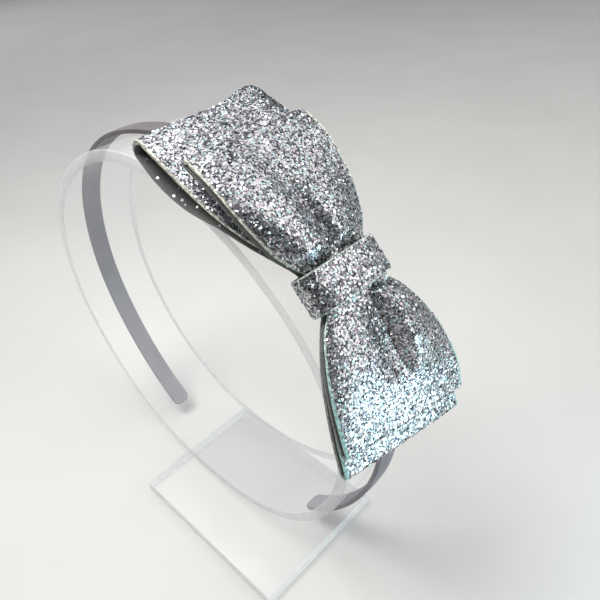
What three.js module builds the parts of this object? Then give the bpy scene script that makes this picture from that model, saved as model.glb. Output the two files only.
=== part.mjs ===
// Glitter bow headband on a clear display stand.
// Millimetres, +Z up. X runs from ear to ear with the bow on the +X side, and Y is the axis of the stand's
// ring, with the near side at -Y.
// The origin is on the underside of the stand's base plate, straight below the middle of the ring.
import * as THREE from 'three';

// Driving sizes
const GAP = 0.3;
const PLATE = { left: -15, right: 45, near: -30, far: 14.5, thick: 4, corner: 1.5, cornerSteps: 4 };
const RING = { wall: 3, width: 26.5, steps: 96 };
const BAND = {
  width: 6.2, thick: 1.4, edge: 0.45, steps: 84,
  tipAngle: 149, tipRounding: 1.6, tipShare: 0.72,
};
const CLOTH = 1.0;
const BOW = { crownAngle: 53.5, sideways: -1.5, layerSteps: 11, endSteps: 4, widthSteps: 14, farPower: 2 };
const ANGLE_STEP = 0.05;
const WRAP = { halfLength: 4.2, lengthSteps: 2, steps: 36 };

// Outline of the ring's outer face and of the band's inner face, by angle from the crown
const OUTLINE_ROWS = [
  { angle: 0, ring: 56.8, band: 57.1 },
  { angle: 15, ring: 56.7, band: 57.3 },
  { angle: 30, ring: 56.9, band: 58.8 },
  { angle: 45, ring: 58.0, band: 60.6 },
  { angle: 60, ring: 59.9, band: 61.8 },
  { angle: 90, ring: 62.1, band: 62.9 },
  { angle: 120, ring: 61.0, band: 62.9 },
  { angle: 150, ring: 59.5, band: 64.9 },
  { angle: 180, ring: 58.0, band: 67.0 },
];

// Bow strips: one row for each section out from the knot. Near and far are the half widths, heights are
// over the band at the middle of the width, and a drop is how much lower a layer lies at its near or far
// long edge. The mouth is how much further the back layer drops at the near edge. The end is slanted, and
// crowned on its far half.
const BACK_STRIP = {
  nearPower: 2,
  foldShare: { front: 0.3, back: 0.15 },
  upper: {
    endSlant: 0,
    endCrown: 2.3,
    lean: -0.034,
    rows: [
      { reach: 0, near: 7.2, far: 7.2, front: 2.35, back: 1.05, nearDrop: 0.2, farDrop: 0.2, mouth: 0 },
      { reach: 4.6, near: 7.4, far: 7.4, front: 2.4, back: 1.1, nearDrop: 0.4, farDrop: 0.3, mouth: 0 },
      { reach: 8, near: 9.2, far: 9.2, front: 2.5, back: 1.2, nearDrop: 1.2, farDrop: 0.5, mouth: 0 },
      { reach: 14, near: 12.3, far: 12.3, front: 2.5, back: 1.2, nearDrop: 2.3, farDrop: 0.6, mouth: 0 },
      { reach: 21, near: 14.6, far: 14.9, front: 2, back: 0.2, nearDrop: 3.4, farDrop: 1, mouth: 0.2 },
      { reach: 28, near: 15.9, far: 16.5, front: 0.5, back: -3, nearDrop: 3.1, farDrop: 1.2, mouth: 1.6 },
      { reach: 35, near: 16.4, far: 17.4, front: -2.4, back: -6.9, nearDrop: 1.7, farDrop: 0.8, mouth: 1.4 },
      { reach: 41.8, near: 16.2, far: 18, front: -5.4, back: -9, nearDrop: 1.4, farDrop: 2, mouth: 0.8 },
    ],
  },
  lower: {
    endSlant: 3,
    endCrown: 0,
    lean: 0,
    rows: [
      { reach: 0, near: 7.2, far: 7.2, front: 2.35, back: 1.05, nearDrop: 0.2, farDrop: 0.2, mouth: 0 },
      { reach: 4.6, near: 7.4, far: 7.4, front: 2.3, back: 1, nearDrop: 0.4, farDrop: 0.3, mouth: 0 },
      { reach: 8, near: 9.2, far: 9.6, front: 2, back: 0.7, nearDrop: 1.6, farDrop: 0.8, mouth: 0 },
      { reach: 14, near: 12.5, far: 12.9, front: 0.65, back: -0.65, nearDrop: 1.5, farDrop: 1, mouth: 0 },
      { reach: 21, near: 15.5, far: 15.7, front: -0.85, back: -2.15, nearDrop: 0.9, farDrop: 0.8, mouth: 0 },
      { reach: 28, near: 17.1, far: 17.1, front: -3.2, back: -4.6, nearDrop: 0.5, farDrop: 0.5, mouth: 0 },
      { reach: 37.8, near: 18.1, far: 17.8, front: -7.2, back: -8.7, nearDrop: 0.2, farDrop: 0.9, mouth: 0 },
    ],
  },
};
const FRONT_STRIP = {
  nearPower: 6,
  foldShare: { front: 1, back: 0.9 },
  upper: {
    endSlant: 0,
    endCrown: 0.6,
    lean: -0.034,
    rows: [
      { reach: 0, near: 8.2, far: 8.2, front: 5.2, back: 3.9, nearDrop: 0.6, farDrop: 0.6, mouth: 0 },
      { reach: 4.6, near: 8.7, far: 8.7, front: 5.2, back: 3.9, nearDrop: 1, farDrop: 0.6, mouth: 0 },
      { reach: 8, near: 11, far: 11.3, front: 5.3, back: 4, nearDrop: 2.9, farDrop: 0.9, mouth: 0 },
      { reach: 14, near: 13.4, far: 13.9, front: 5.3, back: 4, nearDrop: 2.8, farDrop: 0.7, mouth: 0 },
      { reach: 21, near: 15.1, far: 15.6, front: 4.8, back: 3.5, nearDrop: 1.6, farDrop: 0.3, mouth: 0 },
      { reach: 28, near: 15.8, far: 16.3, front: 4.2, back: 2.9, nearDrop: 0.9, farDrop: 0.4, mouth: 0 },
      { reach: 32.6, near: 16, far: 16.6, front: 3, back: 1.7, nearDrop: 0.5, farDrop: 1, mouth: 0 },
    ],
  },
  lower: {
    endSlant: 3,
    endCrown: 0,
    lean: 0,
    rows: [
      { reach: 0, near: 8.2, far: 8.2, front: 5.2, back: 3.9, nearDrop: 0.6, farDrop: 0.6, mouth: 0 },
      { reach: 4.6, near: 8.7, far: 8.7, front: 5.1, back: 3.8, nearDrop: 1, farDrop: 0.6, mouth: 0 },
      { reach: 8, near: 11.4, far: 11.9, front: 4.9, back: 3.6, nearDrop: 1.5, farDrop: 1.7, mouth: 0 },
      { reach: 14, near: 14.6, far: 15.3, front: 4.1, back: 2.8, nearDrop: 1.5, farDrop: 2, mouth: 0 },
      { reach: 21, near: 16.9, far: 17.5, front: 2.6, back: 1.3, nearDrop: 1.3, farDrop: 1.9, mouth: 0 },
      { reach: 28, near: 18, far: 18.3, front: 0, back: -1.4, nearDrop: 0.7, farDrop: 1, mouth: 0 },
      { reach: 33, near: 18.2, far: 17.9, front: -2.3, back: -3.7, nearDrop: 0.4, farDrop: 1, mouth: 0 },
    ],
  },
};

// Gathers that run out of the knot: place across the width at the knot and at the fold's reach, height
// (below zero for a groove), breadth on the near and on the far side, the reach where they are full and the
// reaches between which they fade away. Each layer takes a share of them, the top one most.
const FOLD_START = 4.6;
const FOLD_REACH = 30;
const FOLD_POWER = 3;
const FOLDS = {
  upper: [
    { atKnot: 0.22, atReach: 0.12, height: 2.4, near: 0.15, far: 0.6, full: 8.2, from: 10, to: 38 },
    { atKnot: -0.54, atReach: -0.66, height: 3.2, near: 0.65, far: 0.45, full: 8.2, from: 13, to: 42 },
  ],
  lower: [
    { atKnot: 0.3, atReach: 0.36, height: 3.2, near: 0.12, far: 0.5, full: 8.2, from: 17, to: 28 },
    { atKnot: 0.08, atReach: 0.1, height: -1.2, near: 0.26, far: 0.1, full: 15, from: 20, to: 27 },
  ],
};

// Half of the wrap's closed path, from the middle of its top round to the middle of its underside
const WRAP_ROWS = [
  { side: 0, height: 7.0 },
  { side: 4.5, height: 6.9 },
  { side: 8, height: 6.3 },
  { side: 10.1, height: 4.7 },
  { side: 10.3, height: 2.9 },
  { side: 9.2, height: 0.4 },
  { side: 7.3, height: -1.9 },
  { side: 4.8, height: -2.6 },
  { side: 0, height: -2.6 },
];

// Cubic through the rows of a table, with one column as the place and another as the value
function through(rows, place, value, at) {
  const last = rows.length - 2;
  let i = 0;
  while (i < last && at > rows[i + 1][place]) i += 1;
  const rise = (k) => (rows[k + 1][value] - rows[k][value]) / (rows[k + 1][place] - rows[k][place]);
  const step = (k) => rows[k + 1][place] - rows[k][place];
  const slope = (k) => {
    if (k === 0) return rise(0);
    if (k === rows.length - 1) return rise(k - 1);
    return (rise(k - 1) * step(k) + rise(k) * step(k - 1)) / (step(k - 1) + step(k));
  };
  const t = (at - rows[i][place]) / step(i);
  const s = 1 - t;
  return (1 + 2 * t) * s * s * rows[i][value] + t * s * s * step(i) * slope(i)
    + t * t * (3 - 2 * t) * rows[i + 1][value] - t * t * s * step(i) * slope(i + 1);
}

// The outline rows carried past the crown and past the bottom, so that both halves meet smoothly
const ALL_ROUND_ROWS = [
  ...OUTLINE_ROWS.slice(1).reverse().map((row) => ({ ...row, angle: -row.angle })),
  ...OUTLINE_ROWS,
  ...OUTLINE_ROWS.slice(0, -1).reverse().map((row) => ({ ...row, angle: 360 - row.angle })),
];
const RING_MIDDLE = PLATE.thick + GAP + OUTLINE_ROWS[OUTLINE_ROWS.length - 1].ring;

// A point of the ring's or the band's outline in the X-Z plane, moved outward by an offset
function outlinePoint(column, degrees, offset) {
  const at = (angle) => {
    const radius = through(ALL_ROUND_ROWS, 'angle', column, angle);
    const turn = THREE.MathUtils.degToRad(angle);
    return new THREE.Vector2(radius * Math.sin(turn), RING_MIDDLE + radius * Math.cos(turn));
  };
  const along = at(degrees + ANGLE_STEP).sub(at(degrees - ANGLE_STEP)).normalize();
  const outward = new THREE.Vector2(-along.y, along.x);
  return { point: at(degrees).addScaledVector(outward, offset), along, outward };
}

// Closed solid skinned over a row of rings of points; closed rows meet end to start, open ones get flat ends
function skin(rings, closed) {
  const count = rings[0].length;
  const positions = rings.flat().flatMap((p) => [p.x, p.y, p.z]);
  const faces = [];
  const spans = closed ? rings.length : rings.length - 1;
  for (let j = 0; j < spans; j += 1) {
    const next = (j + 1) % rings.length;
    for (let i = 0; i < count; i += 1) {
      const right = (i + 1) % count;
      const corners = [j * count + i, j * count + right, next * count + right, next * count + i];
      faces.push([corners[0], corners[1], corners[2]], [corners[0], corners[2], corners[3]]);
    }
  }
  if (!closed) {
    const end = (rings.length - 1) * count;
    for (let i = 1; i < count - 1; i += 1) {
      faces.push([0, i + 1, i], [end, end + i, end + i + 1]);
    }
  }
  return solidFrom(positions, faces);
}

// Indexed geometry with its faces turned outward
function solidFrom(positions, faces) {
  const corner = (k) => new THREE.Vector3().fromArray(positions, 3 * k);
  const volume = faces.reduce((sum, [a, b, c]) => sum + corner(a).dot(corner(b).cross(corner(c))), 0);
  const order = volume > 0 ? faces : faces.map(([a, b, c]) => [a, c, b]);
  const geometry = new THREE.BufferGeometry();
  geometry.setAttribute('position', new THREE.Float32BufferAttribute(positions, 3));
  geometry.setIndex(order.flat());
  geometry.computeVertexNormals();
  return geometry;
}

// The bow's own frame on the band's outer face: reach along the bow, side across it, height off the band
function bowFrame() {
  const foot = outlinePoint('band', BOW.crownAngle, BAND.thick);
  const along = new THREE.Vector3(-foot.along.x, 0, -foot.along.y);
  const across = new THREE.Vector3(0, 1, 0);
  const height = new THREE.Vector3(foot.outward.x, 0, foot.outward.y);
  const origin = new THREE.Vector3(foot.point.x, BOW.sideways, foot.point.y);
  return { origin, reach: along, side: across, height };
}
const FRAME = bowFrame();

function bowPoint(reach, side, height) {
  return FRAME.origin.clone().addScaledVector(FRAME.reach, reach)
    .addScaledVector(FRAME.side, side).addScaledVector(FRAME.height, height);
}

// Height that the gathers add at a reach and at a place across the width from -1 to 1
function foldHeight(folds, reach, across) {
  const { smoothstep, lerp } = THREE.MathUtils;
  return folds.reduce((total, fold) => {
    const middle = lerp(fold.atKnot, fold.atReach, reach / FOLD_REACH);
    const breadth = across < middle ? fold.near : fold.far;
    const risen = smoothstep(reach, FOLD_START, fold.full);
    const kept = 1 - smoothstep(reach, fold.from, fold.to);
    const profile = Math.exp(-(Math.abs((across - middle) / breadth) ** FOLD_POWER));
    return total + fold.height * risen * kept * profile;
  }, 0);
}

// A point of one layer of a loop, at a reach and at a place across the width
function layerPoint(strip, loop, folds, face, reach, across) {
  const read = (column) => through(loop.rows, 'reach', column, reach);
  const end = loop.rows[loop.rows.length - 1];
  const nearDrop = face === 'back' ? read('nearDrop') + read('mouth') : read('nearDrop');
  const edge = Math.abs(across);
  const farShare = Math.max(across, 0) ** 3;
  const longer = loop.endSlant * across + loop.endCrown * 4 * farShare * (1 - farShare);
  const drop = across < 0 ? nearDrop * edge ** strip.nearPower : read('farDrop') * edge ** BOW.farPower;
  return {
    reach: reach * (1 + longer / end.reach),
    side: read(across < 0 ? 'near' : 'far') * across + loop.lean * reach,
    height: read(face) - drop + strip.foldShare[face] * foldHeight(folds, reach, across),
  };
}

// One loop's path at a place across the width: out along the front layer, round the end and back along the
// back layer
function loopPath(strip, part, across) {
  const loop = strip[part];
  const folds = FOLDS[part];
  const end = loop.rows[loop.rows.length - 1];
  const radius = (end.front - end.back) / 2;
  const outward = Array.from({ length: BOW.layerSteps }, (_, k) => {
    return THREE.MathUtils.lerp(FOLD_START, end.reach, k / (BOW.layerSteps - 1));
  });
  const stops = [0, ...outward];
  const front = stops.map((reach) => layerPoint(strip, loop, folds, 'front', reach, across));
  const back = stops.map((reach) => layerPoint(strip, loop, folds, 'back', reach, across)).reverse();
  const tip = front[front.length - 1];
  const round = Array.from({ length: BOW.endSteps - 1 }, (_, k) => {
    const turn = (Math.PI * (k + 1)) / BOW.endSteps;
    return {
      reach: tip.reach + radius * Math.sin(turn),
      side: tip.side,
      height: THREE.MathUtils.lerp(tip.height, back[0].height, (1 - Math.cos(turn)) / 2),
    };
  });
  return [...front, ...round, ...back];
}

// The whole strip's closed path: the upper loop, then the lower loop run the other way and turned about
function stripPath(strip, across) {
  const upper = loopPath(strip, 'upper', across);
  const lower = loopPath(strip, 'lower', across).reverse();
  const below = lower.slice(1, -1).map((p) => ({ ...p, reach: -p.reach }));
  return [...upper, ...below];
}

// A point moved off its path, square to the path's direction in the plane of reach and height
function offPath(path, index, offset) {
  const before = path[(index + path.length - 1) % path.length];
  const after = path[(index + 1) % path.length];
  const run = new THREE.Vector2(after.reach - before.reach, after.height - before.height).normalize();
  const here = path[index];
  return bowPoint(here.reach - run.y * offset, here.side, here.height + run.x * offset);
}

function bowStrip(strip) {
  const places = Array.from({ length: BOW.widthSteps + 1 }, (_, i) => (2 * i) / BOW.widthSteps - 1);
  const paths = places.map((across) => stripPath(strip, across));
  const rings = paths[0].map((_, j) => {
    const outer = paths.map((path) => offPath(path, j, CLOTH / 2));
    const inner = paths.map((path) => offPath(path, j, -CLOTH / 2));
    return [...outer, ...inner.reverse()];
  });
  return skin(rings, true);
}

function centerWrap() {
  const right = WRAP_ROWS.map((row) => new THREE.Vector3(row.side, row.height, 0));
  const left = WRAP_ROWS.slice(1, -1).reverse().map((row) => new THREE.Vector3(-row.side, row.height, 0));
  const path = new THREE.CatmullRomCurve3([...right, ...left], true);
  const points = path.getSpacedPoints(WRAP.steps).slice(0, -1);
  const lengths = Array.from({ length: WRAP.lengthSteps + 1 }, (_, k) => (2 * k) / WRAP.lengthSteps - 1);
  const rings = points.map((p, j) => {
    const before = points[(j + points.length - 1) % points.length];
    const after = points[(j + 1) % points.length];
    const run = after.clone().sub(before).normalize();
    const row = (offset) => lengths.map((length) => {
      return bowPoint(length * WRAP.halfLength, p.x - run.y * offset, p.y + run.x * offset);
    });
    const outer = row(CLOTH / 2);
    const inner = row(-CLOTH / 2);
    return [...outer, ...inner.reverse()];
  });
  return skin(rings, true);
}

// The band's section: a strip with its four long edges eased
function bandSection(degrees, share) {
  const half = (BAND.width / 2) * share;
  const eased = half - BAND.edge;
  const corners = [
    [eased, 0], [half, BAND.edge], [half, BAND.thick - BAND.edge], [eased, BAND.thick],
    [-eased, BAND.thick], [-half, BAND.thick - BAND.edge], [-half, BAND.edge], [-eased, 0],
  ];
  return corners.map(([side, out]) => {
    const { point } = outlinePoint('band', degrees, out);
    return new THREE.Vector3(point.x, side, point.y);
  });
}

function headband() {
  const rings = [];
  const roundingAngle = THREE.MathUtils.radToDeg(BAND.tipRounding / OUTLINE_ROWS[0].band);
  const tip = (degrees) => BAND.tipAngle - Math.abs(degrees);
  for (let k = 0; k <= BAND.steps; k += 1) {
    const degrees = BAND.tipAngle * ((2 * k) / BAND.steps - 1);
    if (tip(degrees) > roundingAngle || k === 0 || k === BAND.steps) {
      rings.push(bandSection(degrees, tip(degrees) > 0 ? 1 : BAND.tipShare));
    }
    if (k === 0) rings.push(bandSection(degrees + roundingAngle, 1));
    if (k === BAND.steps - 1) rings.push(bandSection(BAND.tipAngle - roundingAngle, 1));
  }
  return skin(rings, false);
}

function standRing() {
  const around = (offset) => Array.from({ length: RING.steps }, (_, k) => {
    return outlinePoint('ring', (360 * k) / RING.steps - 180, offset).point;
  });
  const shape = new THREE.Shape(around(0));
  shape.holes.push(new THREE.Path(around(-RING.wall).reverse()));
  const geometry = new THREE.ExtrudeGeometry(shape, { depth: RING.width, bevelEnabled: false });
  return geometry.rotateX(Math.PI / 2).translate(0, RING.width / 2, 0);
}

function standBase() {
  const { left, right, near, far, corner } = PLATE;
  const shape = new THREE.Shape();
  shape.absarc(right - corner, far - corner, corner, 0, Math.PI / 2);
  shape.absarc(left + corner, far - corner, corner, Math.PI / 2, Math.PI);
  shape.absarc(left + corner, near + corner, corner, Math.PI, 1.5 * Math.PI);
  shape.absarc(right - corner, near + corner, corner, 1.5 * Math.PI, 2 * Math.PI);
  const settings = { depth: PLATE.thick, bevelEnabled: false, curveSegments: PLATE.cornerSteps };
  return new THREE.ExtrudeGeometry(shape, settings);
}

const LOOKS = {
  satin: { color: 0x7f828b, roughness: 0.5, metalness: 0 },
  glitter: { color: 0xb6babf, roughness: 0.35, metalness: 0.6 },
  acrylic: { color: 0xe9eff3, roughness: 0.08, metalness: 0, transparent: true, opacity: 0.35 },
};

function piece(name, geometry, look) {
  const mesh = new THREE.Mesh(geometry, new THREE.MeshStandardMaterial(look));
  mesh.name = name;
  return mesh;
}

const group = new THREE.Group();
group.name = 'bow_headband_on_stand';
group.add(
  piece('headband', headband(), LOOKS.satin),
  piece('bow_back_loops', bowStrip(BACK_STRIP), LOOKS.glitter),
  piece('bow_front_loops', bowStrip(FRONT_STRIP), LOOKS.glitter),
  piece('center_wrap', centerWrap(), LOOKS.glitter),
  piece('stand_ring', standRing(), LOOKS.acrylic),
  piece('stand_base', standBase(), LOOKS.acrylic),
);

export default group;
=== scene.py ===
"""Glitter bow headband on a clear display stand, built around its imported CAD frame."""

import math

import bmesh
import bpy
import numpy as np
from mathutils import Matrix, Vector


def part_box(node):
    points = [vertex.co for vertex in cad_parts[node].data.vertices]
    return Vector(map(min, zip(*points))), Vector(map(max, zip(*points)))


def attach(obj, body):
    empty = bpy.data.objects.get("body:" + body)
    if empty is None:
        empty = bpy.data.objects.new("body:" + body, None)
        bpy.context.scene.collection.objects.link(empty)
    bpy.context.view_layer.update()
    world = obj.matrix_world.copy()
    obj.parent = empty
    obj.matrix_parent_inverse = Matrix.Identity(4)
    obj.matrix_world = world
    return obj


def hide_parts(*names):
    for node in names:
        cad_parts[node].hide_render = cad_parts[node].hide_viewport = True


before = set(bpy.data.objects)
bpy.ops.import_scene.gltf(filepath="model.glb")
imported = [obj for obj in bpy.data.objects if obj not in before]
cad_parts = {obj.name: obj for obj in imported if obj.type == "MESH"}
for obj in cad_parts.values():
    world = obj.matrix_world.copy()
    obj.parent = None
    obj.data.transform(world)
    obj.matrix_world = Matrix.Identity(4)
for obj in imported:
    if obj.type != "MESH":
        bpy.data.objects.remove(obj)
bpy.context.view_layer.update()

bl_info = {
    "name": "Bow Headband",
    "version": (1, 0, 0),
    "blender": (4, 5, 0),
    "location": "View3D > Sidebar > Bow Headband",
    "description": "Makes a glitter bow headband on its clear display stand",
    "category": "Object",
}

MM = 0.001
BODY = "root"

# Outline of the ring's outer face and of the band's inner face, in mm, by angle from the crown in degrees
OUTLINE_COLUMNS = ("angle", "ring", "band")
OUTLINE_ROWS = (
    (0, 56.8, 57.1),
    (15, 56.7, 57.3),
    (30, 56.9, 58.8),
    (45, 58.0, 60.6),
    (60, 59.9, 61.8),
    (90, 62.1, 62.9),
    (120, 61.0, 62.9),
    (150, 59.5, 64.9),
    (180, 58.0, 67.0),
)
PLATE_TOP = 4.0
RING_LIFT = 0.3
RING_MIDDLE = PLATE_TOP + RING_LIFT + OUTLINE_ROWS[-1][1]

# Bow strips, in mm: a row for each section out from the knot. Heights are over the band at the middle of
# the width. A drop is how much lower a layer lies at its near or far long edge, falling by a power of the
# place across. The mouth is how much further the back layer drops at the near edge. The end slant makes a
# loop longer towards its far edge, the end crown makes it longer between the middle and the far edge, and
# the lean moves it sideways by its reach. The fold share is how much of the gathers a layer takes.
STRIP_COLUMNS = ("reach", "near_width", "far_width", "front", "back", "near_drop", "far_drop", "mouth")
FAR_POWER = 2
CROWN_POWER = 3
BACK_STRIP = {
    "near_power": 2,
    "fold_share": {"front": 0.3, "back": 0.15},
    "upper": {
        "end_slant": 0.0,
        "end_crown": 2.3,
        "lean": -0.034,
        "rows": (
            (0, 7.2, 7.2, 2.35, 1.05, 0.2, 0.2, 0),
            (4.6, 7.4, 7.4, 2.4, 1.1, 0.4, 0.3, 0),
            (8, 9.2, 9.2, 2.5, 1.2, 1.2, 0.5, 0),
            (14, 12.3, 12.3, 2.5, 1.2, 2.3, 0.6, 0),
            (21, 14.6, 14.9, 2, 0.2, 3.4, 1, 0.2),
            (28, 15.9, 16.5, 0.5, -3, 3.1, 1.2, 1.6),
            (35, 16.4, 17.4, -2.4, -6.9, 1.7, 0.8, 1.4),
            (41.8, 16.2, 18, -5.4, -9, 1.4, 2, 0.8),
        ),
    },
    "lower": {
        "end_slant": 3.0,
        "end_crown": 0.0,
        "lean": 0.0,
        "rows": (
            (0, 7.2, 7.2, 2.35, 1.05, 0.2, 0.2, 0),
            (4.6, 7.4, 7.4, 2.3, 1.0, 0.4, 0.3, 0),
            (8, 9.2, 9.6, 2, 0.7, 1.6, 0.8, 0),
            (14, 12.5, 12.9, 0.65, -0.65, 1.5, 1, 0),
            (21, 15.5, 15.7, -0.85, -2.15, 0.9, 0.8, 0),
            (28, 17.1, 17.1, -3.2, -4.6, 0.5, 0.5, 0),
            (37.8, 18.1, 17.8, -7.2, -8.7, 0.2, 0.9, 0),
        ),
    },
}
FRONT_STRIP = {
    "near_power": 6,
    "fold_share": {"front": 1.0, "back": 0.9},
    "upper": {
        "end_slant": 0.0,
        "end_crown": 0.6,
        "lean": -0.034,
        "rows": (
            (0, 8.2, 8.2, 5.2, 3.9, 0.6, 0.6, 0),
            (4.6, 8.7, 8.7, 5.2, 3.9, 1, 0.6, 0),
            (8, 11, 11.3, 5.3, 4, 2.9, 0.9, 0),
            (14, 13.4, 13.9, 5.3, 4, 2.8, 0.7, 0),
            (21, 15.1, 15.6, 4.8, 3.5, 1.6, 0.3, 0),
            (28, 15.8, 16.3, 4.2, 2.9, 0.9, 0.4, 0),
            (32.6, 16, 16.6, 3, 1.7, 0.5, 1, 0),
        ),
    },
    "lower": {
        "end_slant": 3.0,
        "end_crown": 0.0,
        "lean": 0.0,
        "rows": (
            (0, 8.2, 8.2, 5.2, 3.9, 0.6, 0.6, 0),
            (4.6, 8.7, 8.7, 5.1, 3.8, 1, 0.6, 0),
            (8, 11.4, 11.9, 4.9, 3.6, 1.5, 1.7, 0),
            (14, 14.6, 15.3, 4.1, 2.8, 1.5, 2, 0),
            (21, 16.9, 17.5, 2.6, 1.3, 1.3, 1.9, 0),
            (28, 18, 18.3, 0, -1.4, 0.7, 1, 0),
            (33, 18.2, 17.9, -2.3, -3.7, 0.4, 1, 0),
        ),
    },
}

# Gathers that run out of the knot: place across the width at the knot and at the fold's reach, height in
# mm, below zero for a groove, breadth on its near and far side, the reach where it is full, and the reaches
# between which it fades away
FOLD_START = 4.6
FOLD_REACH = 30.0
FOLD_POWER = 3
FOLD_COLUMNS = (
    "at_knot",
    "at_reach",
    "height",
    "near_breadth",
    "far_breadth",
    "full",
    "fade_from",
    "fade_to",
)
FOLDS = {
    "upper": (
        (0.22, 0.12, 2.4, 0.15, 0.60, 8.2, 10, 38),
        (-0.54, -0.66, 3.2, 0.65, 0.45, 8.2, 13, 42),
    ),
    "lower": (
        (0.30, 0.36, 3.2, 0.12, 0.50, 8.2, 17, 28),
        (0.08, 0.10, -1.2, 0.26, 0.10, 15, 20, 27),
    ),
}

# Wall of the frame's cloth, in mm
WALL = 1.0

# Half of the wrap's closed path, in mm, from the middle of its top round to the middle of its underside
WRAP_ROWS = (
    (0, 7.0),
    (4.5, 6.9),
    (8, 6.3),
    (10.1, 4.7),
    (10.3, 2.9),
    (9.2, 0.4),
    (7.3, -1.9),
    (4.8, -2.6),
    (0, -2.6),
)

# Steps along a loop up to the gathers, from there on and round its end, and columns in the backing's rim
KNOT_STEPS = 5
LOOP_STEPS = 52
TURN_STEPS = 12
RIM_STEPS = 4

# Reach that the wrap is sure to cover, and how slowly the cut edge's painted shade changes round a loop's end
WRAPPED_REACH = FOLD_START - 1
PAINTED_SHADE_BLEND = 0.2

# Material slots of a cloth
FACE, BACKING, CUT_EDGE = range(3)

# Heights in metres between which the cut edge warms, and between which painted shade darkens the satin
# towards the top of the band
CUT_EDGE_WARMS = (0.080, 0.120)
SATIN_PAINTED_SHADE = (0.104, 0.124)

SHARP_ANGLE = math.radians(50)
TINY = 1e-12


# Table and curve helpers

def column(columns, rows, name):
    return np.array([row[columns.index(name)] for row in rows], float)


def unit(vectors):
    return vectors / np.maximum(np.linalg.norm(vectors, axis=-1, keepdims=True), TINY)


def through(places, values, at):
    """Cubic through the points of a table, read at an array of places."""
    step = np.diff(places)
    rise = np.diff(values) / step
    between = (rise[:-1] * step[1:] + rise[1:] * step[:-1]) / (step[:-1] + step[1:])
    slope = np.concatenate([rise[:1], between, rise[-1:]])
    i = np.clip(np.searchsorted(places, at) - 1, 0, len(places) - 2)
    t = (at - places[i]) / step[i]
    s = 1 - t
    start = (1 + 2 * t) * s * s * values[i] + t * s * s * step[i] * slope[i]
    return start + t * t * (3 - 2 * t) * values[i + 1] - t * t * s * step[i] * slope[i + 1]


def outline_points(name, degrees, offset):
    """Points of the ring's or the band's outline in X and Z, moved outward, and their outward directions."""
    angle = column(OUTLINE_COLUMNS, OUTLINE_ROWS, "angle")
    radius = column(OUTLINE_COLUMNS, OUTLINE_ROWS, name)
    all_angle = np.concatenate([-angle[:0:-1], angle, 360 - angle[-2::-1]])
    all_radius = np.concatenate([radius[:0:-1], radius, radius[-2::-1]])

    def place(at):
        r = through(all_angle, all_radius, at)
        turn = np.radians(at)
        return np.stack([r * np.sin(turn), RING_MIDDLE + r * np.cos(turn)], -1)

    small = 0.05
    along = unit(place(degrees + small) - place(degrees - small))
    outward = np.stack([-along[..., 1], along[..., 0]], -1)
    return place(degrees) + outward * np.asarray(offset)[..., None], outward


def bow_points(local):
    """Points given by reach, side and height over the band, in mm, in the frame's metres."""
    bow = bpy.context.scene.bow_sizes
    foot, outward = outline_points("band", np.array(bow.crown_angle), bow.band_thickness / MM)
    along = np.array([-outward[1], 0, outward[0]])
    across = np.array([0.0, 1.0, 0.0])
    height = np.array([outward[0], 0, outward[1]])
    origin = np.array([foot[0], bow.sideways / MM, foot[1]])
    return MM * (origin + local[..., :1] * along + local[..., 1:2] * across + local[..., 2:] * height)


def ease(x, start, stop):
    t = np.clip((x - start) / (stop - start), 0, 1)
    return t * t * (3 - 2 * t)


# Bow cloth

def fold_height(folds, reach, across):
    total = 0.0
    for row in folds:
        fold = dict(zip(FOLD_COLUMNS, row))
        middle = fold["at_knot"] + (fold["at_reach"] - fold["at_knot"]) * reach / FOLD_REACH
        breadth = np.where(across < middle, fold["near_breadth"], fold["far_breadth"])
        share = ease(reach, FOLD_START, fold["full"]) * (1 - ease(reach, fold["fade_from"], fold["fade_to"]))
        total = total + fold["height"] * share * np.exp(-(np.abs((across - middle) / breadth) ** FOLD_POWER))
    return total


def cloth_layer(loop, folds, strip, face, stops, across):
    """Reach, side and height of one layer of a loop, over its stops and over the width."""
    places = column(STRIP_COLUMNS, loop["rows"], "reach")

    def read(name):
        return through(places, column(STRIP_COLUMNS, loop["rows"], name), stops)[:, None]

    far = np.maximum(across, 0) ** CROWN_POWER
    longer = loop["end_slant"] * across + loop["end_crown"] * 4 * far * (1 - far)
    reach = stops[:, None] * (1 + longer / places[-1])
    half_width = np.where(across < 0, read("near_width"), read("far_width"))
    side = half_width * across + loop["lean"] * stops[:, None]
    near = read("near_drop") + (read("mouth") if face == "back" else 0)
    near_fall = near * np.abs(across) ** strip["near_power"]
    far_fall = read("far_drop") * np.abs(across) ** FAR_POWER
    height = read(face) - np.where(across < 0, near_fall, far_fall)
    height = height + strip["fold_share"][face] * fold_height(folds, stops[:, None], across)
    return np.stack(np.broadcast_arrays(reach, side, height), -1)


def loop_path(strip, side, across):
    """Out along the front layer, round the end fold and back along the back layer."""
    loop = strip[side]
    folds = FOLDS[side]
    end = dict(zip(STRIP_COLUMNS, loop["rows"][-1]))
    radius = (end["front"] - end["back"]) / 2
    at_knot = np.linspace(0, FOLD_START, KNOT_STEPS)
    beyond = np.linspace(FOLD_START, end["reach"], LOOP_STEPS)[1:]
    stops = np.concatenate([at_knot, beyond])
    front = cloth_layer(loop, folds, strip, "front", stops, across)
    back = cloth_layer(loop, folds, strip, "back", stops[::-1], across)
    turn = np.linspace(0, math.pi, TURN_STEPS)[1:-1, None]
    fold = front[-1:] + (back[:1] - front[-1:]) * ((1 - np.cos(turn)) / 2)[..., None]
    fold[..., 0] += radius * np.sin(turn)
    return np.concatenate([front, fold, back])


def strip_path(strip, across):
    upper = loop_path(strip, "upper", across)
    lower = loop_path(strip, "lower", across)[::-1]
    lower = lower * np.array([-1.0, 1.0, 1.0])
    return np.concatenate([upper, lower[1:-1]])


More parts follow.
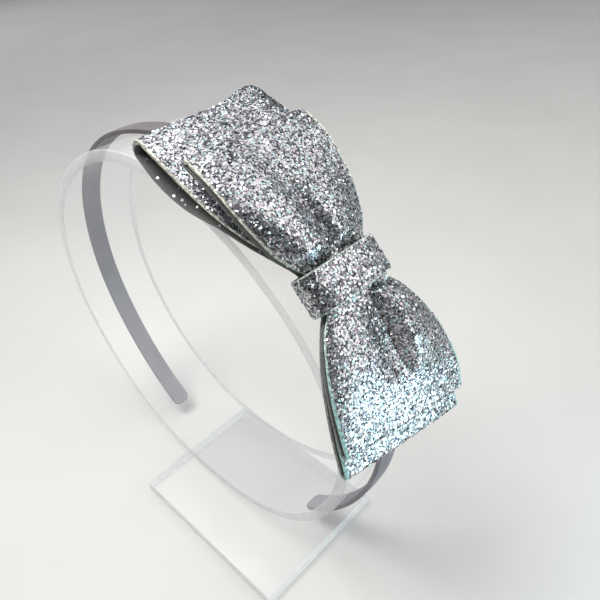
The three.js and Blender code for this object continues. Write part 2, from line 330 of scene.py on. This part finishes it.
def off_path(path, offset):
    """The path moved square to its cloth."""
    run = np.roll(path, -1, 0) - np.roll(path, 1, 0)
    across = np.gradient(path, axis=1)
    return path + offset * unit(np.cross(run, across))


def edged(half, margin, steps):
    """Even places from -half to half, but for a narrow margin at each end."""
    return np.concatenate([[-half], np.linspace(margin - half, half - margin, steps - 1), [half]])


def edge_tone(path):
    """Painted light and shade on the cut edge: pale on the front layers, where the path runs towards the
    upper end, and dull on the back ones, which lie in shade.
    """
    run = np.roll(path[:, 0, 0], -1) - np.roll(path[:, 0, 0], 1)
    return ease(run / np.abs(run).max(), -PAINTED_SHADE_BLEND, PAINTED_SHADE_BLEND)


def wrap_path(steps, lengths):
    """The wrap's closed path as side and height, repeated over its length along the bow."""
    half = np.array(WRAP_ROWS, float)
    ring = np.concatenate([half, half[-2:0:-1] * np.array([-1.0, 1.0])])
    closed = np.concatenate([ring[-2:], ring, ring[:3]])
    knots = np.concatenate([[0], np.cumsum(np.linalg.norm(np.diff(closed, axis=0), axis=1))])
    at = np.linspace(knots[2], knots[-3], steps + 1)[:-1]
    side = through(knots, closed[:, 0], at)
    height = through(knots, closed[:, 1], at)
    return np.stack(np.broadcast_arrays(lengths[None, :], side[:, None], height[:, None]), -1)


def off_wrap(path, offset):
    run = np.roll(path, -1, 0) - np.roll(path, 1, 0)
    run = unit(run[..., 1:])
    moved = path.copy()
    moved[..., 1] -= run[..., 1] * offset
    moved[..., 2] += run[..., 0] * offset
    return moved


def point_attribute(mesh, name, values):
    layer = mesh.attributes.new(name, "FLOAT", "POINT")
    layer.data.foreach_set("value", values.astype(np.float32))


def cloth_mesh(name, outer, inner, painted_shading):
    """Closed cloth wall from two grids that run round and close on themselves.

    The cut edge takes in the outermost column of the face, where the glitter has come off. The painted
    shading, one value for each place along, says how pale the cut edge is there, pale with painted light on
    the front layers and dull with painted shade on the back ones. The backing has painted light that makes it
    paler towards its rim.
    """
    count, width = outer.shape[:2]
    row = np.arange(count)[:, None] * width
    after = np.roll(row, -1, 0)
    span = np.arange(width - 1)[None, :]
    face = np.stack([row + span, after + span, after + span + 1, row + span + 1], -1).reshape(-1, 4)
    backing = face[:, ::-1] + count * width
    low = np.concatenate([row, row + count * width, after + count * width, after], -1)
    high = low[:, ::-1] + width - 1
    points = np.concatenate([outer.reshape(-1, 3), inner.reshape(-1, 3)])
    mesh = bpy.data.meshes.new(name)
    mesh.from_pydata(points.tolist(), [], np.concatenate([face, backing, low, high]).tolist())
    on_face = np.where(np.isin(span[0], (0, width - 2)), CUT_EDGE, FACE)
    others = np.repeat([BACKING, CUT_EDGE], [len(backing), 2 * count])
    slots = np.concatenate([np.tile(on_face, count), others])
    mesh.polygons.foreach_set("material_index", slots.astype(np.int32))
    from_edge = np.minimum(np.arange(width), np.arange(width)[::-1])
    # Painted light and shade: how pale the cut edge is along the cloth, and the backing's painted paler rim
    point_attribute(mesh, "edge_tone", np.tile(np.repeat(painted_shading, width), 2))
    point_attribute(mesh, "rim", np.tile(np.clip(1 - from_edge / RIM_STEPS, 0, 1), 2 * count))
    for material in (glitter_ground(), felt_backing(), cut_edge()):
        mesh.materials.append(material)
    piece = link_piece(name, mesh)
    face_outward(piece)
    return piece


def link_piece(name, mesh):
    piece = bpy.data.objects.new(name, mesh)
    bpy.context.scene.collection.objects.link(piece)
    return piece


def face_outward(piece):
    shape = bmesh.new()
    shape.from_mesh(piece.data)
    if shape.calc_volume(signed=True) < 0:
        bmesh.ops.reverse_faces(shape, faces=shape.faces)
    shape.to_mesh(piece.data)
    shape.free()
    pick(piece)
    bpy.ops.object.shade_smooth_by_angle(angle=SHARP_ANGLE)


def pick(piece):
    bpy.ops.object.select_all(action="DESELECT")
    piece.select_set(True)
    bpy.context.view_layer.objects.active = piece


# Glitter

FLAKE_TINTS = (
    {"share": 0.56, "colour": (0.80, 0.81, 0.82)},
    {"share": 0.14, "colour": (0.80, 0.70, 0.80)},
    {"share": 0.14, "colour": (0.62, 0.84, 0.88)},
    {"share": 0.16, "colour": (0.26, 0.24, 0.31)},
)
FLAKE_CORNERS = 4

# Ranges of a flake's size and shade, as shares, and of its lift off the cloth, in mm
FLAKE_SIZES = (0.55, 1.15)
FLAKE_SHADES = (0.75, 1.05)
FLAKE_LIFTS = (0.03, 0.12)


def cloth_cells(face, other):
    """Corners, areas and normals of the cells of a cloth's face, which looks away from its other side."""
    ahead = np.roll(face, -1, 0)
    corners = (face[:, :-1], ahead[:, :-1], ahead[:, 1:], face[:, 1:])
    a, b, c, d = corners
    cross = np.cross(c - a, d - b)
    normal = unit(cross)
    normal *= np.sign(np.sum(normal * (a - other[:, :-1]), -1, keepdims=True))
    return corners, np.linalg.norm(cross, axis=-1) / 2, normal


def flake_cloud(face, other, bare, density, rng):
    """Corners and colours of small square flakes strewn over a cloth's face.

    The face looks away from the other side. Its cut edges stay free, and so does what bare says is covered.
    """
    bow = bpy.context.scene.bow_sizes
    corners, area, normal = cloth_cells(face, other)
    weight = np.where(bare[:, :-1], 0, area)
    weight[:, [0, -1]] = 0
    weight = weight.ravel()
    count = int(weight.sum() / MM**2 * density)
    cell = rng.choice(weight.size, count, p=weight / weight.sum())
    s, t = rng.random((2, count, 1))
    a, b, c, d = [grid.reshape(-1, 3)[cell] for grid in corners]
    middle = (1 - s) * ((1 - t) * a + t * d) + s * ((1 - t) * b + t * c)
    up = normal.reshape(-1, 3)[cell]
    spread = np.where(rng.random((count, 1)) < bow.loose_share, bow.loose_tilt, bow.flake_tilt)
    tilt = rng.normal(0, 1, (count, 3)) * spread
    facing = unit(up + tilt - np.sum(tilt * up, -1, keepdims=True) * up)
    first = unit(np.cross(facing, rng.normal(size=(count, 3))))
    second = np.cross(facing, first)
    size = bow.flake_size / 2 * rng.uniform(*FLAKE_SIZES, (count, 1))
    middle = middle + up * (MM * rng.uniform(*FLAKE_LIFTS, (count, 1)))
    angle = np.linspace(0, 2 * math.pi, FLAKE_CORNERS, endpoint=False)
    points = np.stack([middle + size * (math.cos(x) * first + math.sin(x) * second) for x in angle], 1)
    shares = [tint["share"] for tint in FLAKE_TINTS]
    colours = np.array([tint["colour"] for tint in FLAKE_TINTS])
    colour = colours[rng.choice(len(shares), count, p=shares)] * rng.uniform(*FLAKE_SHADES, (count, 1))
    return points, np.concatenate([colour.clip(0, 1), np.ones((count, 1))], 1)


def flake_piece(name, *clouds):
    points = np.concatenate([cloud[0] for cloud in clouds])
    colour = np.concatenate([cloud[1] for cloud in clouds])
    faces = np.arange(points.shape[0] * FLAKE_CORNERS).reshape(-1, FLAKE_CORNERS)
    mesh = bpy.data.meshes.new(name)
    mesh.from_pydata(points.reshape(-1, 3).tolist(), [], faces.tolist())
    layer = mesh.color_attributes.new("flake_tint", "FLOAT_COLOR", "POINT")
    layer.data.foreach_set("color", np.repeat(colour, FLAKE_CORNERS, 0).astype(np.float32).ravel())
    mesh.materials.append(glitter_flake())
    return link_piece(name, mesh)


# Materials

class Value:
    """One output socket, with Python's operators as Math nodes."""

    def __init__(self, shading, socket):
        self.shading = shading
        self.socket = socket

    def math(self, operation, first, second):
        return self.shading.node("ShaderNodeMath", {"operation": operation}, {0: first, 1: second})

    def __add__(self, other):
        return self.math("ADD", self, other)

    def __radd__(self, other):
        return self.math("ADD", other, self)

    def __mul__(self, other):
        return self.math("MULTIPLY", self, other)

    def __rmul__(self, other):
        return self.math("MULTIPLY", other, self)

    def __pow__(self, other):
        return self.math("POWER", self, other)


class Shading:
    """A material and its nodes."""

    def __init__(self, name):
        self.material = bpy.data.materials.new(name)
        self.material.use_nodes = True
        self.tree = self.material.node_tree
        self.shader = self.tree.nodes["Principled BSDF"]

    def node(self, kind, settings=None, inputs=None, output=0):
        made = self.tree.nodes.new(kind)
        for key, value in (settings or {}).items():
            if key == "stops":
                self.stops(made.color_ramp, value)
            else:
                setattr(made, key, value)
        for key, value in (inputs or {}).items():
            self.feed(made.inputs[key], value)
        return Value(self, made.outputs[output])

    def stops(self, ramp, stops):
        while len(ramp.elements) < len(stops):
            ramp.elements.new(0.5)
        for element, (place, colour) in zip(ramp.elements, stops):
            element.position = place
            element.color = (*colour, 1)

    def feed(self, socket, value):
        if isinstance(value, Value):
            self.tree.links.new(value.socket, socket)
        elif hasattr(value, "__len__") and len(value) == 3 and len(socket.default_value) == 4:
            socket.default_value = (*value, 1)
        else:
            socket.default_value = value

    def finish(self, **sockets):
        for key, value in sockets.items():
            self.feed(self.shader.inputs[key.replace("_", " ")], value)
        return self.material

    def place(self):
        return self.node("ShaderNodeTexCoord", output="Object")

    def noise(self, scale, detail=3.0):
        inputs = {"Vector": self.place(), "Scale": scale, "Detail": detail}
        return self.node("ShaderNodeTexNoise", {}, inputs, "Fac")

    def climb(self, low, high):
        """0 up to the low height and 1 from the high one."""
        height = self.node("ShaderNodeSeparateXYZ", {}, {"Vector": self.place()}, "Z")
        return self.node("ShaderNodeMapRange", {}, {"Value": height, "From Min": low, "From Max": high})

    def attribute(self, name, output="Fac"):
        return self.node("ShaderNodeAttribute", {"attribute_name": name}, output=output)

    def ramp(self, value, *stops):
        return self.node("ShaderNodeValToRGB", {"stops": stops}, {"Fac": value})

    def mix(self, factor, first, second, blend="MIX"):
        # A Mix node set to colours takes them at inputs 6 and 7 and gives its result at output 2
        settings = {"data_type": "RGBA", "blend_type": blend}
        return self.node("ShaderNodeMix", settings, {"Factor": factor, 6: first, 7: second}, 2)

    def bump(self, height, distance, strength=1.0):
        inputs = {"Height": height, "Distance": distance, "Strength": strength}
        return self.node("ShaderNodeBump", {}, inputs)


def shared(make):
    """Makes a material once, and gives the same one to every later caller."""
    made = []

    def get():
        if not made:
            made.append(make())
        return made[0]

    return get


def scaled(colour, share):
    return tuple(min(1.0, share * x) for x in colour[:3])


@shared
def glitter_flake():
    shading = Shading("glitter_flake")
    tint = shading.attribute("flake_tint", "Color")
    return shading.finish(Base_Color=tint, Metallic=1.0, Roughness=0.28)


@shared
def glitter_ground():
    """Fine glitter between the separate flakes"""
    shading = Shading("glitter_ground")
    inputs = {"Vector": shading.place(), "Scale": 2600.0}
    cells = shading.node("ShaderNodeTexVoronoi", {"feature": "F1"}, inputs, "Color")
    shade = shading.node("ShaderNodeSeparateColor", {}, {"Color": cells}, "Red")
    colour = shading.ramp(
        shade,
        (0.0, (0.03, 0.03, 0.035)),
        (0.45, (0.12, 0.12, 0.14)),
        (0.8, (0.42, 0.44, 0.47)),
        (1.0, (0.8, 0.84, 0.86)),
    )
    return shading.finish(
        Base_Color=colour,
        Metallic=0.75,
        Roughness=0.28 + shade * 0.25,
        Normal=shading.bump(shade, 0.00015),
    )


@shared
def felt_backing():
    """Dark felt, with painted light making it paler along its rim"""
    shading = Shading("felt_backing")
    fibre = shading.noise(3800.0, 6.0)
    patch = shading.noise(160.0)
    mottle = fibre * 0.7 + patch * 0.3
    deep = shading.ramp(mottle, (0.3, (0.035, 0.035, 0.035)), (0.7, (0.085, 0.085, 0.08)))
    # Painted light: the paler felt along the rim stands for light reaching in at the edge
    painted_rim_light = shading.ramp(fibre, (0.3, (0.11, 0.12, 0.118)), (0.7, (0.25, 0.265, 0.26)))
    return shading.finish(
        Base_Color=shading.mix(shading.attribute("rim"), deep, painted_rim_light),
        Roughness=0.95,
        Normal=shading.bump(fibre, 0.0002),
        Sheen_Weight=0.25,
    )


@shared
def cut_edge():
    """Bare cut cloth, cool and minty low down and cream higher up, with painted shade dulling it on the back
    layers
    """
    shading = Shading("cut_edge")
    climb = shading.climb(*CUT_EDGE_WARMS)
    pale = shading.ramp(climb, (0.0, (0.48, 0.80, 0.77)), (1.0, (0.86, 0.84, 0.73)))
    # Painted shade: the cut edge turns dull grey on the back layers and stays pale on the front ones
    painted_shading = shading.mix(shading.attribute("edge_tone"), (0.28, 0.29, 0.28), pale)
    fibre = shading.noise(1400.0, 5.0)
    dark = shading.ramp(fibre, (0.36, (0.34, 0.35, 0.37)), (0.58, (1.0, 1.0, 1.0)))
    colour = shading.mix(1.0, painted_shading, dark, "MULTIPLY")
    return shading.finish(Base_Color=colour, Roughness=0.8, Normal=shading.bump(fibre, 0.0002))


@shared
def satin_ribbon():
    """Satin with a fine rib across the band, with painted shade darkening it over the top of the band"""
    shading = Shading("satin_ribbon")
    ribbon = bpy.context.scene.headband_finish.ribbon
    place = shading.node("ShaderNodeUVMap", {"uv_map": "UVMap"})
    stretched = shading.node("ShaderNodeMapping", {}, {"Vector": place, "Scale": (1500.0, 14.0, 1.0)})
    rib = shading.node("ShaderNodeTexNoise", {}, {"Vector": stretched, "Scale": 1.0, "Detail": 2.0}, "Fac")
    soft = shading.noise(90.0)
    woven = shading.ramp(rib * 0.5 + soft * 0.5, (0.35, scaled(ribbon, 0.8)), (0.65, scaled(ribbon, 1.22)))
    # Painted shade: the satin's colour falls to about 40 percent over the top of the band
    climb = shading.climb(*SATIN_PAINTED_SHADE)
    painted_top_shade = shading.ramp(climb, (0.0, (1.0, 1.0, 1.0)), (1.0, (0.42, 0.38, 0.36)))
    return shading.finish(
        Base_Color=shading.mix(1.0, woven, painted_top_shade, "MULTIPLY"),
        Roughness=0.48 + rib * 0.14,
        Normal=shading.bump(rib, 0.00005),
        Sheen_Weight=0.04,
        Sheen_Roughness=0.4,
        Specular_IOR_Level=0.3,
    )


@shared
def clear_acrylic():
    shading = Shading("clear_acrylic")
    smear = shading.noise(60.0)
    scratch = shading.noise(900.0, 2.0)
    slant = shading.node("ShaderNodeLayerWeight", {}, {"Blend": 0.35}, "Facing")
    return shading.finish(
        Base_Color=bpy.context.scene.headband_finish.acrylic[:3],
        Roughness=0.03 + smear * 0.06,
        Normal=shading.bump(scratch, 0.00002, 0.3),
        Alpha=0.07 + slant**4.0 * 0.25,
        IOR=1.49,
    )


@shared
def sawn_acrylic():
    shading = Shading("sawn_acrylic")
    grain = shading.noise(700.0, 4.0)
    colour = shading.ramp(grain, (0.3, (0.80, 0.82, 0.85)), (0.7, (0.90, 0.92, 0.94)))
    return shading.finish(
        Base_Color=colour,
        Roughness=0.25 + grain * 0.25,
        Normal=shading.bump(grain, 0.0001),
        Alpha=0.54 + grain * 0.08,
        IOR=1.49,
    )


@shared
def pale_floor():
    shading = Shading("pale_floor")
    floor = bpy.context.scene.headband_finish.floor
    grain = shading.noise(12.0)
    colour = shading.ramp(grain, (0.3, scaled(floor, 0.97)), (0.7, scaled(floor, 1.03)))
    return shading.finish(Base_Color=colour, Roughness=0.9)


# Settings

class BowSizes(bpy.types.PropertyGroup):
    """Sizes of the bow and its band"""

    crown_angle: bpy.props.FloatProperty(
        name="Crown Angle", description="Degrees from the band's crown to the knot", default=53.5
    )
    sideways: bpy.props.FloatProperty(
        name="Sideways", description="How far the bow sits to the near side", default=-1.5 * MM, unit="LENGTH"
    )
    cloth: bpy.props.FloatProperty(
        name="Cloth", description="Thickness of the glitter cloth", default=0.8 * MM, unit="LENGTH"
    )
    wrap_length: bpy.props.FloatProperty(
        name="Wrap Length", description="Width of the strip round the knot", default=8.4 * MM, unit="LENGTH"
    )
    band_width: bpy.props.FloatProperty(
        name="Band Width", description="Width of the headband", default=6.2 * MM, unit="LENGTH"
    )
    band_thickness: bpy.props.FloatProperty(
        name="Band Thickness", description="Thickness of the covered band", default=1.4 * MM, unit="LENGTH"
    )
    band_tip: bpy.props.FloatProperty(
        name="Band Tip", description="Degrees from the crown to the band's tips", default=149.0
    )
    flake_size: bpy.props.FloatProperty(
        name="Flake Size", description="Width of a glitter flake", default=0.64 * MM, unit="LENGTH"
    )
    flake_density: bpy.props.FloatProperty(
        name="Flake Density", description="Glitter flakes on a square millimetre", default=6.5
    )
    stray_density: bpy.props.FloatProperty(
        name="Stray Density", description="Stray flakes on a square millimetre of backing", default=0.3
    )
    flake_tilt: bpy.props.FloatProperty(
        name="Flake Tilt", description="How unevenly most flakes lie", default=0.10
    )
    loose_tilt: bpy.props.FloatProperty(
        name="Loose Tilt", description="How unevenly the loose flakes lie", default=0.45
    )
    loose_share: bpy.props.FloatProperty(
        name="Loose Share", description="Share of the flakes that lie loose", default=0.24
    )


class StandSizes(bpy.types.PropertyGroup):
    """Sizes of the clear stand"""

    ring_width: bpy.props.FloatProperty(
        name="Ring Width", description="Width of the ring's strip", default=26.5 * MM, unit="LENGTH"
    )
    ring_wall: bpy.props.FloatProperty(
        name="Ring Wall", description="Thickness of the ring's strip", default=3.0 * MM, unit="LENGTH"
    )
    polish: bpy.props.FloatProperty(
        name="Polish", description="Rounding of the acrylic's edges", default=0.3 * MM, unit="LENGTH"
    )
    plate_corner: bpy.props.FloatProperty(
        name="Plate Corner", description="Rounding of the plate's corners", default=1.5 * MM, unit="LENGTH"
    )


class HeadbandFinish(bpy.types.PropertyGroup):
    """Colours of the headband, its stand and the floor"""

    ribbon: bpy.props.FloatVectorProperty(
        name="Ribbon", description="Satin on the band", default=(0.222, 0.213, 0.240), subtype="COLOR"
    )
    acrylic: bpy.props.FloatVectorProperty(
        name="Acrylic", description="Tint of the clear stand", default=(0.96, 0.98, 1.0), subtype="COLOR"
    )
    floor: bpy.props.FloatVectorProperty(
        name="Floor", description="Pale floor", default=(0.645, 0.64, 0.628), subtype="COLOR"
    )


# Pieces

def settle(piece, slot, *nodes):
    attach(piece, BODY)
    if nodes:
        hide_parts(*nodes)


def named(piece, name):
    piece.name = name
    piece.data.name = name
    return piece


def flat_points(piece):
    return np.array([vertex.co for vertex in piece.data.vertices])


def move_points(piece, points):
    piece.data.vertices.foreach_set("co", points.astype(np.float32).ravel())
    piece.data.update()


def apply_modifier(piece, kind, **settings):
    modifier = piece.modifiers.new(kind.title(), kind)
    for key, value in settings.items():
        setattr(modifier, key, value)
    pick(piece)
    bpy.ops.object.modifier_apply(modifier=modifier.name)


def thicken_inward(piece, thickness):
    """Gives a sheet that runs round the ring's middle a wall on its inner side."""
    pick(piece)
    bpy.ops.object.mode_set(mode="EDIT")
    bpy.ops.mesh.select_all(action="SELECT")
    bpy.ops.mesh.normals_make_consistent(inside=False)
    bpy.ops.object.mode_set(mode="OBJECT")
    first = piece.data.polygons[0]
    outward = first.normal.dot(first.center - Vector((0, 0, RING_MIDDLE * MM)))
    apply_modifier(piece, "SOLIDIFY", thickness=thickness, offset=-1.0 if outward > 0 else 1.0)


def round_edges(piece, width):
    apply_modifier(piece, "BEVEL", width=width, segments=3, limit_method="ANGLE", angle_limit=SHARP_ANGLE)


def finish_acrylic(piece, *edge_axes):
    """Clear broad faces, and sawn faces where the normal runs along one of the given axes."""
    piece.data.materials.append(clear_acrylic())
    piece.data.materials.append(sawn_acrylic())
    face_outward(piece)
    along = 0.6
    for polygon in piece.data.polygons:
        polygon.material_index = int(any(abs(polygon.normal[axis]) > along for axis in edge_axes))


class MakeSatinBand(bpy.types.Operator):
    """Make the satin covered band from tip to tip"""

    bl_idname = "headband.make_satin_band"
    bl_label = "Make Satin Band"

    along_steps = 320
    across_steps = 8
    tip_corner = 1.6
    padding = 0.16
    rounding = 0.4 * MM

    def execute(self, context):
        bow = context.scene.bow_sizes
        bpy.ops.object.select_all(action="DESELECT")
        bpy.ops.mesh.primitive_grid_add(
            x_subdivisions=self.along_steps, y_subdivisions=self.across_steps, size=2
        )
        band = named(context.object, "satin_band")
        wall = bow.band_thickness / MM - self.padding
        move_points(band, self.bent(flat_points(band), bow, wall))
        thicken_inward(band, wall * MM)
        round_edges(band, self.rounding)
        band.data.materials.append(satin_ribbon())
        face_outward(band)
        settle(band, "satin_band", "headband")
        return {"FINISHED"}

    def bent(self, flat, bow, wall):
        """The flat grid bent round the outline, with round tips and a slightly padded middle."""
        degrees = flat[:, 0] * bow.band_tip
        crown_radius = column(OUTLINE_COLUMNS, OUTLINE_ROWS, "band")[0]
        from_tip = np.radians(bow.band_tip - np.abs(degrees)) * crown_radius
        cut = np.clip(1 - from_tip / self.tip_corner, 0, 1)
        half = bow.band_width / MM / 2
        side = flat[:, 1] * (half - self.tip_corner * (1 - np.sqrt(1 - cut**2)))
        place, _ = outline_points("band", degrees, wall + self.padding * (1 - flat[:, 1] ** 2))
        return MM * np.stack([place[:, 0], side, place[:, 1]], -1)


class MakeBowStrips(bpy.types.Operator):
    """Make the two looped glitter strips of the bow"""

    bl_idname = "headband.make_bow_strips"
    bl_label = "Make Bow Strips"

    columns = ("name", "node", "shape", "flat", "seed")
    strips = (
        ("bow_back", "bow_back_loops", BACK_STRIP, (0.036, 0.170), 11),
        ("bow_front", "bow_front_loops", FRONT_STRIP, (0.036, 0.141), 12),
    )
    width_steps = 56
    margin = 0.028

    def execute(self, context):
        for row in self.strips:
            self.make_strip(context.scene.bow_sizes, dict(zip(self.columns, row)))
        return {"FINISHED"}

    def make_strip(self, bow, strip):
        path = strip_path(strip["shape"], edged(1.0, self.margin, self.width_steps))
        outer = bow_points(off_path(path, WALL / 2))
        inner = bow_points(off_path(path, WALL / 2 - bow.cloth / MM))
        piece = cloth_mesh(strip["name"] + "_strip", outer, inner, edge_tone(path))
        settle(piece, "glitter_cloth", strip["node"])
        rng = np.random.default_rng(strip["seed"])
        under_wrap = np.abs(path[..., 0]) < WRAPPED_REACH
        flakes = flake_piece(
            strip["name"] + "_glitter",
            flake_cloud(outer, inner, under_wrap, bow.flake_density, rng),
            flake_cloud(inner, outer, under_wrap, bow.stray_density, rng),
        )
        settle(flakes, "glitter_cloth")


class MakeKnotWrap(bpy.types.Operator):
    """Make the narrow glitter strip round the knot and the band"""

    bl_idname = "headband.make_knot_wrap"
    bl_label = "Make Knot Wrap"

    around_steps = 180
    length_steps = 16
    margin = 0.3
    flat = (0.010, 0.058)
    seed = 13

    def execute(self, context):
        bow = context.scene.bow_sizes
        half = bow.wrap_length / MM / 2
        path = wrap_path(self.around_steps, edged(half, self.margin, self.length_steps))
        outer = bow_points(off_wrap(path, WALL / 2))
        inner = bow_points(off_wrap(path, WALL / 2 - bow.cloth / MM))
        piece = cloth_mesh("knot_wrap", outer, inner, np.ones(self.around_steps))
        settle(piece, "glitter_cloth", "center_wrap")
        rng = np.random.default_rng(self.seed)
        bare = np.zeros(path.shape[:2], bool)
        flakes = flake_piece("knot_glitter", flake_cloud(outer, inner, bare, bow.flake_density, rng))
        settle(flakes, "glitter_cloth")
        return {"FINISHED"}


class MakeStandRing(bpy.types.Operator):
    """Make the clear oval ring"""

    bl_idname = "headband.make_stand_ring"
    bl_label = "Make Stand Ring"

    steps = 288

    def execute(self, context):
        stand = context.scene.stand_sizes
        bpy.ops.object.select_all(action="DESELECT")
        bpy.ops.mesh.primitive_circle_add(vertices=self.steps, radius=1, fill_type="NOTHING")
        ring = named(context.object, "acrylic_ring")
        flat = flat_points(ring)
        place, _ = outline_points("ring", np.degrees(np.arctan2(flat[:, 0], flat[:, 1])), 0.0)
        near = np.full(len(flat), -stand.ring_width / 2)
        move_points(ring, np.stack([MM * place[:, 0], near, MM * place[:, 1]], -1))
        bpy.ops.object.mode_set(mode="EDIT")
        bpy.ops.mesh.select_all(action="SELECT")
        bpy.ops.mesh.extrude_region_move(TRANSFORM_OT_translate={"value": (0, stand.ring_width, 0)})
        bpy.ops.object.mode_set(mode="OBJECT")
        thicken_inward(ring, stand.ring_wall)
        round_edges(ring, stand.polish)
        finish_acrylic(ring, 1)
        settle(ring, "clear_acrylic", "stand_ring")
        return {"FINISHED"}


class MakeStandBase(bpy.types.Operator):
    """Make the clear base plate"""

    bl_idname = "headband.make_stand_base"
    bl_label = "Make Stand Base"

    floor_gap = 0.15 * MM
    corner_steps = 6

    def execute(self, context):
        stand = context.scene.stand_sizes
        low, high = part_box("stand_base")
        low.z += self.floor_gap
        bpy.ops.object.select_all(action="DESELECT")
        bpy.ops.mesh.primitive_cube_add(size=1, location=(low + high) / 2, scale=high - low)
        plate = named(context.object, "acrylic_plate")
        bpy.ops.object.transform_apply(location=True, rotation=True, scale=True)
        bpy.ops.object.mode_set(mode="EDIT")
        bpy.ops.mesh.select_all(action="DESELECT")
        shape = bmesh.from_edit_mesh(plate.data)
        for edge in shape.edges:
            run = edge.verts[0].co - edge.verts[1].co
            edge.select = abs(run.z) > (high.z - low.z) / 2
        bmesh.update_edit_mesh(plate.data)
        bpy.ops.mesh.bevel(offset=stand.plate_corner, segments=self.corner_steps, affect="EDGES")
        bpy.ops.object.mode_set(mode="OBJECT")
        round_edges(plate, stand.polish)
        finish_acrylic(plate, 0, 1)
        settle(plate, "clear_acrylic", "stand_base")
        return {"FINISHED"}


class MakeStage(bpy.types.Operator):
    """Make the floor, the studio lights and the camera"""

    bl_idname = "headband.make_stage"
    bl_label = "Make Stage"

    # Place in mm, and the directions that the camera looks along and that run down its picture
    camera_place = (118.39, -74.20, 168.36)
    camera_forward = (-0.5925, 0.5457, -0.5926)
    camera_down = (0.3664, -0.4726, -0.8015)
    focal_pixels = 587.46
    image_pixels = 600
    sensor_width = 36
    clip_start = 5 * MM
    floor_size = 8
    world_colour = (0.93, 0.96, 1.0, 1)
    world_strength = 0.09
    # Places and sizes in metres, spread in degrees and power in watts
    lamp_columns = ("name", "place", "size", "spread", "power", "colour")
    lamps = (
        ("top_softbox", (0.19, 0.22, 0.73), 1.1, 180, 4.3, (1.0, 0.99, 0.97)),
        ("tall_card", (0.60, 0.25, 0.28), 0.54, 60, 0.21, (1.0, 0.97, 0.94)),
        ("back_card", (0.25, 0.95, 0.28), 0.9, 180, 1.0, (0.95, 1.0, 1.0)),
        ("floor_card", (0.205, 0.06, 0.03), 0.08, 180, 0.105, (0.60, 0.92, 1.0)),
        ("left_softbox", (-1.1, 0.30, 0.8), 0.8, 180, 5.0, (0.95, 0.97, 1.0)),
        ("near_lamp", (-0.06, -0.09, 0.36), 0.18, 180, 1.05, (1.0, 0.98, 0.95)),
    )
    aim = (0.03, 0.0, 0.06)

    def execute(self, context):
        self.make_floor(context)
        for row in self.lamps:
            self.make_lamp(context, dict(zip(self.lamp_columns, row)))
        self.make_world(context)
        self.make_camera(context)
        return {"FINISHED"}

    def make_floor(self, context):
        bpy.ops.object.select_all(action="DESELECT")
        bpy.ops.mesh.primitive_plane_add(size=self.floor_size)
        floor = context.object
        floor.name = "floor"
        floor.data.materials.append(pale_floor())

    def make_lamp(self, context, lamp):
        light = bpy.data.lights.new(lamp["name"], "AREA")
        light.size = lamp["size"]
        light.spread = math.radians(lamp["spread"])
        light.energy = lamp["power"]
        light.color = lamp["colour"]
        holder = bpy.data.objects.new(lamp["name"], light)
        holder.location = lamp["place"]
        towards = Vector(self.aim) - Vector(lamp["place"])
        holder.rotation_euler = towards.to_track_quat("-Z", "Y").to_euler()
        holder.visible_camera = False
        context.scene.collection.objects.link(holder)

    def make_world(self, context):
        world = bpy.data.worlds.new("studio")
        world.use_nodes = True
        background = world.node_tree.nodes["Background"]
        background.inputs["Color"].default_value = self.world_colour
        background.inputs["Strength"].default_value = self.world_strength
        context.scene.world = world
        context.scene.view_settings.view_transform = "Standard"

    def make_camera(self, context):
        forward = Vector(self.camera_forward).normalized()
        up = -Vector(self.camera_down)
        right = forward.cross(up).normalized()
        up = right.cross(forward)
        turn = Matrix((right, up, -forward)).transposed().to_4x4()
        data = bpy.data.cameras.new("camera")
        data.sensor_width = self.sensor_width
        data.lens = data.sensor_width * self.focal_pixels / self.image_pixels
        data.clip_start = self.clip_start
        camera = bpy.data.objects.new("camera", data)
        camera.matrix_world = Matrix.Translation(MM * Vector(self.camera_place)) @ turn
        context.scene.collection.objects.link(camera)
        context.scene.camera = camera


class BowHeadbandPanel(bpy.types.Panel):
    """Steps that make the bow headband"""

    bl_idname = "VIEW3D_PT_bow_headband"
    bl_label = "Bow Headband"
    bl_space_type = "VIEW_3D"
    bl_region_type = "UI"
    bl_category = "Bow Headband"

    def draw(self, context):
        for step in STEPS:
            self.layout.operator(step.bl_idname)
        for group in (context.scene.bow_sizes, context.scene.stand_sizes, context.scene.headband_finish):
            for name in group.__annotations__:
                self.layout.prop(group, name)


STEPS = (MakeStage, MakeSatinBand, MakeBowStrips, MakeKnotWrap, MakeStandRing, MakeStandBase)
CLASSES = (BowSizes, StandSizes, HeadbandFinish, *STEPS, BowHeadbandPanel)


def register():
    for made in CLASSES:
        bpy.utils.register_class(made)
    bpy.types.Scene.bow_sizes = bpy.props.PointerProperty(type=BowSizes)
    bpy.types.Scene.stand_sizes = bpy.props.PointerProperty(type=StandSizes)
    bpy.types.Scene.headband_finish = bpy.props.PointerProperty(type=HeadbandFinish)


def unregister():
    del bpy.types.Scene.headband_finish
    del bpy.types.Scene.stand_sizes
    del bpy.types.Scene.bow_sizes
    for made in reversed(CLASSES):
        bpy.utils.unregister_class(made)


def main():
    register()
    bpy.ops.headband.make_stage()
    bpy.ops.headband.make_satin_band()
    bpy.ops.headband.make_bow_strips()
    bpy.ops.headband.make_knot_wrap()
    bpy.ops.headband.make_stand_ring()
    bpy.ops.headband.make_stand_base()


if __name__ == "__main__":
    main()
